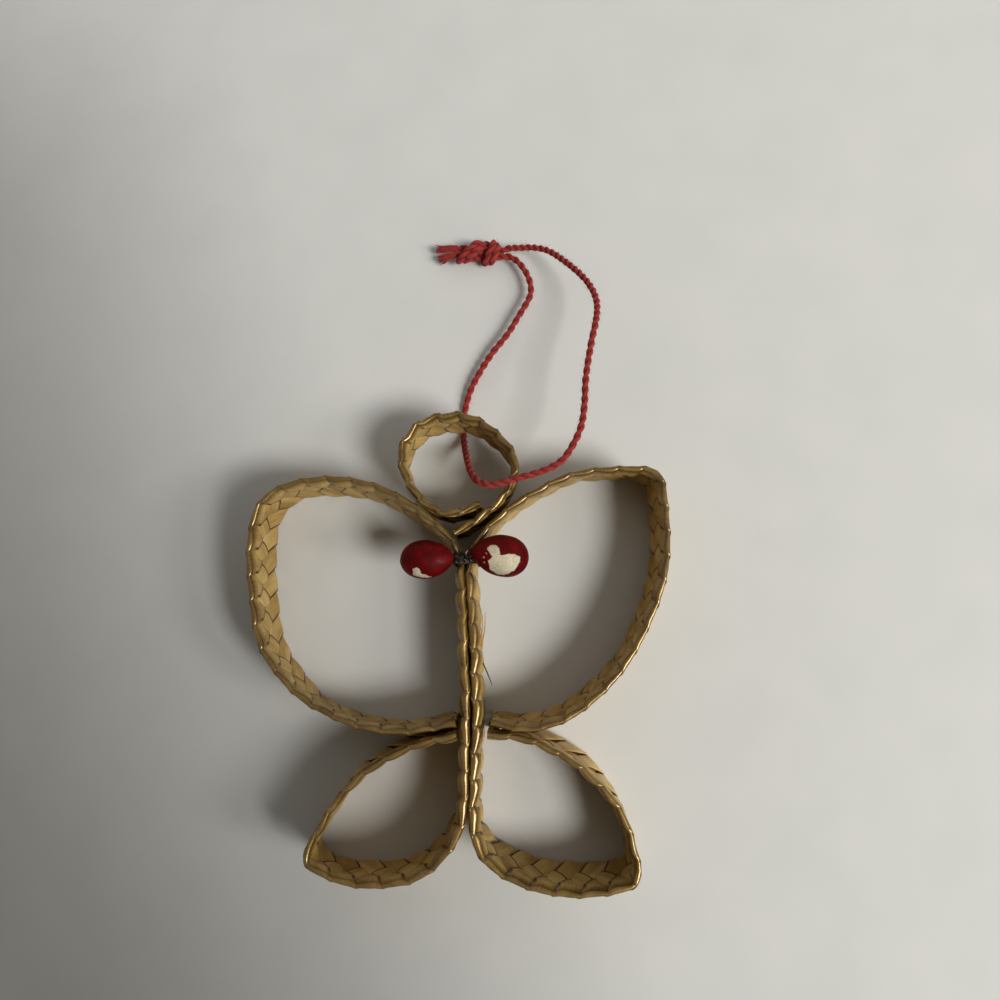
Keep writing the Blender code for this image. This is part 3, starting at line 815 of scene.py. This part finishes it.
# A few straws have split at their edges and stand off the plaits as stiff slivers.
SLIVER_RADIUS = 0.13 * MM
SLIVERS = [
    [(4.3, -0.4, 12.6), (4.8, 2.2, 13.4), (4.9, 5.6, 14.2)],
    [(4.6, -0.6, 12.0), (5.3, 2.6, 12.8), (5.4, 6.0, 13.6)],
    [(4.9, -4.0, 10.6), (5.9, -6.4, 9.4), (6.7, -8.6, 8.2)],
    [(-9.6, 30.8, 13.6), (-7.8, 29.8, 14.6), (-5.3, 28.3, 14.0)],
]
sliver_routes = [smooth_curve([Vector(p) * MM for p in points]) for points in SLIVERS]
sliver_lines = [even_points(route, 10) for route in sliver_routes]
slivers = fine_strands("straw_slivers", sliver_lines, SLIVER_RADIUS, sides=6, seed=6)
slivers.data.uv_layers["along"].name = "straw"
slivers.data.materials.append(straw_skin)
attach(slivers, "root")

# ---------------------------------------------------------------- Berries
# Craft berries: spun cotton pulp on a wire, dipped in deep red lacquer. The lacquer is thin and
# brittle, and it has flaked off in places, most of all on top of the right one.

LACQUER_THICK = 0.16 * MM
# The ends in mm, the width across, and how much slimmer the half at the wire is
LEFT_BERRY = {"tip": (-0.7, 16.6, 16.2), "end": (-11.5, 16.3, 13.8), "width": 7.7, "taper": 0.25}
RIGHT_BERRY = {"tip": (2.5, 18.0, 17.5), "end": (14.0, 16.3, 15.1), "width": 8.3, "taper": 0.4}
# Where the lacquer is gone, seen from above, in mm from the berry's middle
RIGHT_CHIP = [
    (-2.3, 1.3), (-1.4, 1.75), (-0.4, 1.65), (0.15, 0.9), (0.35, -0.35), (1.7, -0.1), (3.05, 0.0),
    (4.2, -0.6), (4.15, -1.6), (3.7, -2.3), (3.0, -3.2), (2.0, -3.85), (1.1, -4.05), (0.15, -4.0),
    (-0.8, -3.6), (-1.75, -3.1), (-1.95, -2.2), (-2.15, -1.2), (-1.2, -0.65), (-1.75, 0.1),
    (-2.3, 0.85),
]
# Small holes near the right berry's tip that bare the pale pulp: a painted highlight of the lamp.
RIGHT_HIGHLIGHT_HOLES = [
    [(-3.1, -0.5), (-2.7, -0.4), (-2.6, -0.8), (-3.0, -0.9)],
    [(-2.6, 0.2), (-2.3, 0.3), (-2.2, -0.1), (-2.5, -0.1)],
    [(-3.0, -1.5), (-2.6, -1.4), (-2.5, -1.9), (-2.9, -1.8)],
]
LEFT_CHIP = [
    (-2.6, -2.0), (-1.85, -1.8), (-1.1, -2.0), (-0.85, -2.95), (0.1, -3.25), (1.1, -3.4),
    (1.1, -3.75), (-0.4, -3.75), (-1.8, -3.6), (-2.6, -3.2),
]


def berry_form(name, tip, end, width, taper, segments, rings, shrink):
    """A teardrop from its tip to its round end, drawn in from a sphere and then shrunk."""
    tip, end = Vector(tip) * MM, Vector(end) * MM
    length = (end - tip).length
    # The outline's widest place, looked for from the tip to the end in hundredths of a radian
    peak = max(math.sin(a / 100) * math.sin(a / 200) ** taper for a in range(1, 314))
    bpy.ops.object.select_all(action="DESELECT")
    bpy.ops.mesh.primitive_uv_sphere_add(segments=segments, ring_count=rings, radius=1.0)
    berry = bpy.context.object
    berry.name = name
    for vert in berry.data.vertices:
        x, y, z = vert.co
        angle = math.acos(max(-1.0, min(1.0, -z)))
        flat = math.hypot(x, y) or 1.0
        reach = width / 2 * MM * math.sin(angle) * math.sin(angle / 2) ** taper / peak
        vert.co = (x / flat * reach, y / flat * reach, length * (1 - math.cos(angle)) / 2)
    bpy.ops.object.mode_set(mode="EDIT")
    bpy.ops.mesh.select_all(action="SELECT")
    bpy.ops.transform.shrink_fatten(value=-shrink)
    bpy.ops.object.mode_set(mode="OBJECT")
    turn = (end - tip).to_track_quat("Z", "Y").to_matrix().to_4x4()
    berry.data.transform(Matrix.Translation(tip) @ turn)
    return berry


def lacquer_hole_cutter(outline, middle, seed):
    """A prism through the top of a berry, with a ragged outline."""
    foot_mm, height = 0.3, 8 * MM
    jags_per_mm, jag_mm = 1.7, 0.16
    points = []
    for k, (x, y) in enumerate(outline):
        nx, ny = outline[(k + 1) % len(outline)]
        for share in (0.0, 0.25, 0.5, 0.75):
            px, py = x + (nx - x) * share, y + (ny - y) * share
            jag = noise.noise_vector(Vector((px * jags_per_mm, py * jags_per_mm, seed))) * jag_mm
            points.append((px + jag.x, py + jag.y))
    bpy.ops.object.select_all(action="DESELECT")
    bpy.ops.mesh.primitive_circle_add(vertices=len(points), radius=1.0, fill_type="NGON")
    cutter = bpy.context.object
    for vert, (x, y) in zip(cutter.data.vertices, points):
        vert.co = middle + Vector((x, y, foot_mm)) * MM
    bpy.ops.object.mode_set(mode="EDIT")
    bpy.ops.mesh.select_all(action="SELECT")
    bpy.ops.mesh.extrude_region_move(TRANSFORM_OT_translate={"value": (0, 0, height)})
    bpy.ops.mesh.select_all(action="SELECT")
    bpy.ops.mesh.normals_make_consistent(inside=False)
    bpy.ops.object.mode_set(mode="OBJECT")
    return cutter


def uneven(piece, start, lump, finer, high, low):
    """Pushes the surface in and out in lumps, with finer ones over them."""
    for vert in piece.data.vertices:
        at = vert.co / lump + Vector((start, 0, 0))
        vert.co += vert.normal * (noise.noise(at) * high * MM + noise.noise(at * finer) * low * MM)


def lacquered_berry(name, node, spec, flakes_and_highlights, seed):
    """The pulp, and a thin lacquer shell over it, holed at flakes and at painted highlights."""
    middle = (Vector(spec["tip"]) + Vector(spec["end"])) / 2 * MM
    pulp = berry_form(name + "_pulp", **spec, segments=72, rings=48, shrink=LACQUER_THICK)
    uneven(pulp, 0, 1.1 * MM, 3.7, high=0.05, low=0.03)
    shell = berry_form(name, **spec, segments=96, rings=64, shrink=0.0)
    uneven(shell, seed, 2.4 * MM, 2.9, high=0.09, low=0.03)
    thicken = shell.modifiers.new("film", "SOLIDIFY")
    # The film goes a little into the pulp, so no gap shows at the chips
    thicken.thickness = LACQUER_THICK * 1.2
    thicken.offset = -1.0
    bpy.context.view_layer.objects.active = shell
    bpy.ops.object.modifier_apply(modifier=thicken.name)
    for n, lacquer_hole in enumerate(flakes_and_highlights):
        cutter = lacquer_hole_cutter(lacquer_hole, middle, seed + n)
        cut = shell.modifiers.new("lacquer_hole", "BOOLEAN")
        cut.operation = "DIFFERENCE"
        cut.object = cutter
        bpy.context.view_layer.objects.active = shell
        bpy.ops.object.modifier_apply(modifier=cut.name)
        bpy.data.objects.remove(cutter, do_unlink=True)
    for piece, material in ((pulp, spun_pulp), (shell, red_lacquer)):
        piece.data.materials.clear()
        piece.data.materials.append(material)
        bpy.ops.object.select_all(action="DESELECT")
        piece.select_set(True)
        bpy.context.view_layer.objects.active = piece
        bpy.ops.object.shade_smooth_by_angle(angle=math.radians(50))
        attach(piece, "root")
    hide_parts(node)


# Dipped lacquer, nearly opaque and dulled by handling: a soft gloss, a faint orange peel of about
# 0.7 mm and darker patches of about 2 mm where it pooled.
red_lacquer, tree, shader = new_material(
    "red_lacquer", Roughness=0.55, IOR=1.4, Specular_IOR_Level=0.15,
    Coat_Weight=0.03, Coat_Roughness=0.22
)
place = add_node(tree, "TexCoord").outputs["Object"]
patches = add_node(tree, "TexNoise", {"Vector": place}, Scale=520.0, Detail=3.0, Roughness=0.55)
red = add_node(tree, "ValToRGB", {"Fac": patches})
set_ramp(red, [(0.3, "#480001"), (0.5, "#560002"), (0.72, "#6b0103")])
peel = add_node(tree, "TexNoise", {"Vector": place}, Scale=1500.0, Detail=2.0)
dimples = add_node(tree, "Bump", {"Height": peel}, Strength=0.25, Distance=0.05 * MM)
feed(tree, shader, {"Base Color": red, "Normal": dimples})

# Spun cotton pulp: off-white, quite rough, with a felted grain of about 0.4 mm.
spun_pulp, tree, shader = new_material("spun_cotton_pulp", Roughness=0.9)
place = add_node(tree, "TexCoord").outputs["Object"]
felt = add_node(tree, "TexNoise", {"Vector": place}, Scale=2600.0, Detail=4.0, Roughness=0.7)
stain = add_node(tree, "TexNoise", {"Vector": place}, Scale=420.0, Detail=2.0)
grain = add_node(tree, "Mix", {"A": felt, "B": stain}, data_type="FLOAT", Factor=0.4)
white = add_node(tree, "ValToRGB", {"Fac": grain})
set_ramp(white, [(0.3, "#a09278"), (0.5, "#c6ba9d"), (0.7, "#e0d5ba")])
nap = add_node(tree, "Bump", {"Height": felt}, Strength=0.6, Distance=0.12 * MM)
feed(tree, shader, {"Base Color": white, "Normal": nap})

lacquered_berry("left_berry_lacquer", "left_berry", LEFT_BERRY, [LEFT_CHIP], 5.0)
lacquered_berry("right_berry_lacquer", "right_berry", RIGHT_BERRY, [RIGHT_CHIP] + RIGHT_HIGHLIGHT_HOLES, 9.0)

# ---------------------------------------------------------------- Binding wire
# Soft dark iron wire, 0.4 mm thick, wound tightly round both plaits at the neck. Its ends are
# twisted together on top and go on as the stems of the two berries.

WIRE_RADIUS = 0.21 * MM
WIRE_SIDES = 8
WIRE_RING_STEP = 0.22 * MM
# The loops go round a rectangle with round corners, from front to back, all in mm
WINDINGS = 5
WEST, EAST, FOOT, TOP = -1.15, 4.05, 0.55, 15.25
WIRE_CORNER = 0.9
POINTS_AT_CORNER, CORNER_STEP = 4, 30
POINTS_PAST_LOOPS = 6
FIRST_LOOP_Y, LOOPS_LENGTH, LOOPS_UNEVEN = 15.75, 1.75, 0.1
# The berries' stems, twisted together: from, to and how far apart in mm, turns, and start angle
STEM_TWISTS = [
    ((-0.3, 16.9, 15.7), (3.3, 16.2, 16.6), 0.42, 2.6, 0.0),
    ((-0.3, 16.9, 15.7), (3.3, 16.2, 16.6), 0.42, 2.6, math.pi),
    ((0.2, 15.3, 15.8), (2.6, 17.9, 16.5), 0.38, 2.1, 0.8),
]
# The wires' loose ends, bent over the knot, in mm
WIRE_ENDS = [
    [(2.6, 17.7, 16.4), (3.0, 18.1, 16.9), (2.4, 18.3, 17.2), (1.7, 17.6, 17.2),
     (1.9, 16.8, 17.1), (2.8, 16.9, 17.3), (3.3, 17.6, 17.4), (3.9, 17.95, 17.5)],
    [(2.2, 16.0, 16.6), (1.4, 15.6, 16.9), (0.6, 16.0, 17.1), (0.2, 16.8, 16.9),
     (-0.6, 16.9, 16.5), (-1.4, 16.65, 16.3), (-2.2, 16.6, 16.1)],
    [(0.9, 17.8, 15.6), (0.5, 17.3, 16.6), (1.1, 16.6, 17.3), (1.9, 15.9, 17.0),
     (2.3, 15.3, 16.3), (2.1, 15.0, 15.7)],
]


def wire_run(name, points):
    """A round wire along the points, as a closed mesh."""
    dense = smooth_curve([Vector(p) * MM for p in points], 6)
    line = even_points(dense, max(8, round(line_length(dense) / WIRE_RING_STEP)))
    bpy.ops.object.select_all(action="DESELECT")
    curve = bpy.data.curves.new(name, "CURVE")
    curve.dimensions = "3D"
    curve.bevel_depth = WIRE_RADIUS
    curve.bevel_resolution = WIRE_SIDES // 4
    curve.use_fill_caps = True
    spline = curve.splines.new("POLY")
    spline.points.add(len(line) - 1)
    for place, point in zip(spline.points, line):
        place.co = (*point, 1.0)
        place.radius = 1.0
    obj = bpy.data.objects.new(name, curve)
    bpy.context.collection.objects.link(obj)
    obj.select_set(True)
    bpy.context.view_layer.objects.active = obj
    bpy.ops.object.convert(target="MESH")
    return bpy.context.object


def winding_points():
    """Loops round both plaits at the neck, side by side, a little uneven."""
    left, right = WEST + WIRE_CORNER, EAST - WIRE_CORNER
    low, high = FOOT + WIRE_CORNER, TOP - WIRE_CORNER
    rim = []
    for cx, cz, first in ((right, high, 0), (left, high, 90), (left, low, 180), (right, low, 270)):
        for k in range(POINTS_AT_CORNER):
            a = math.radians(first + CORNER_STEP * k)
            rim.append((cx + WIRE_CORNER * math.cos(a), cz + WIRE_CORNER * math.sin(a)))
    points = []
    total = WINDINGS * len(rim)
    for n in range(total + POINTS_PAST_LOOPS):
        x, z = rim[n % len(rim)]
        uneven_y = LOOPS_UNEVEN * noise.noise(Vector((n * 0.37, 1.0, 0.0)))
        points.append((x, FIRST_LOOP_Y + LOOPS_LENGTH * n / total + uneven_y, z))
    return points


def twist_points(start, end, radius, turns, phase):
    """One of the wires of a twisted pair between two points."""
    count = 40
    start, end = Vector(start), Vector(end)
    way = (end - start).normalized()
    side = way.orthogonal().normalized()
    over = way.cross(side)
    points = []
    for k in range(count + 1):
        u = k / count
        a = 2 * math.pi * turns * u + phase
        wide = radius * (0.8 + 0.35 * noise.noise(Vector((u * 5, phase, 0))))
        points.append(start.lerp(end, u) + (side * math.cos(a) + over * math.sin(a)) * wide)
    return points


# Annealed iron wire: dark brown scale with brighter worn marks of about 0.5 mm.
iron_wire, tree, shader = new_material("annealed_iron_wire", Metallic=0.85, Roughness=0.38)
place = add_node(tree, "TexCoord").outputs["Object"]
marks = add_node(tree, "TexNoise", {"Vector": place}, Scale=1800.0, Detail=3.0)
dark = add_node(tree, "ValToRGB", {"Fac": marks})
set_ramp(dark, [(0.35, "#2a201a"), (0.6, "#54463b"), (0.75, "#8b7d70")])
feed(tree, shader, {"Base Color": dark})

wires = [wire_run("binding_wire_windings", winding_points())]
for points in [twist_points(*stem) for stem in STEM_TWISTS] + WIRE_ENDS:
    wires.append(wire_run("binding_wire_end", points))
winding = joined(wires)
winding.name = "neck_wire"
winding.data.materials.clear()
winding.data.materials.append(iron_wire)
bpy.ops.object.shade_smooth()
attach(winding, "root")
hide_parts("binding_wire")

# ---------------------------------------------------------------- Stage and light
# A plain matt white table top under one large soft lamp to the lower right. A weaker lamp stands
# lower, the room is dim, and a grey board above the table softly shades its lower left corner.

# A pressed laminate: matt, and mottled very faintly
table_top, tree, shader = new_material("matt_white_laminate", Roughness=0.7)
place = add_node(tree, "TexCoord").outputs["Object"]
grain = add_node(tree, "TexNoise", {"Vector": place}, Scale=60.0, Detail=3.0)
paleness = add_node(tree, "ValToRGB", {"Fac": grain})
set_ramp(paleness, [(0.3, "#d0d0cb"), (0.7, "#d5d4cf")])
feed(tree, shader, {"Base Color": paleness})
bpy.ops.object.select_all(action="DESELECT")
bpy.ops.mesh.primitive_plane_add(size=4.0)
floor = bpy.context.object
floor.name = "floor"
floor.data.materials.append(table_top)

BOARD_HEIGHT = 190.0
BOARD_CORNERS = [(45.0, 55.0), (-400.0, 95.0), (-400.0, -500.0), (349.0, -500.0), (85.0, -75.0)]
corners = [Vector((x, y, BOARD_HEIGHT)) * MM for x, y in BOARD_CORNERS]
board_mesh = bpy.data.meshes.new("shading_board")
board_mesh.from_pydata(corners, [], [range(len(corners))])
board = bpy.data.objects.new("shading_board", board_mesh)
bpy.context.collection.objects.link(board)
board.visible_camera = False
board.visible_glossy = False
grey_card, tree, shader = new_material("grey_card", Base_Color=colour("#2b2a28"), Roughness=0.9)
board.data.materials.append(grey_card)

LAMP_AIM = Vector((10.0, 5.0, 0.0)) * MM
LAMP_AWAY = 1.8


def lamp(name, direction, size, energy, tint):
    """A round soft lamp in a direction from the ornament, facing it."""
    bpy.ops.object.light_add(type="AREA", location=LAMP_AIM + direction.normalized() * LAMP_AWAY)
    light = bpy.context.object
    light.name = name
    light.data.shape = "DISK"
    light.data.size = size
    light.data.energy = energy
    light.data.color = tint
    light.rotation_euler = (-direction).to_track_quat("-Z", "Y").to_euler()


lamp("main_lamp", Vector((0.551, -0.331, 0.766)), size=0.63, energy=22.2, tint=(1.0, 0.998, 0.985))
lamp("side_lamp", Vector((0.80, -0.22, 0.56)), size=0.4, energy=6.1, tint=(1.0, 0.97, 0.93))
world = bpy.data.worlds.new("room")
world.use_nodes = True
daylight = world.node_tree.nodes["Background"]
daylight.inputs["Color"].default_value = (1.0, 0.98, 0.955, 1.0)
daylight.inputs["Strength"].default_value = 0.4
bpy.context.scene.world = world
bpy.context.scene.view_settings.view_transform = "Standard"
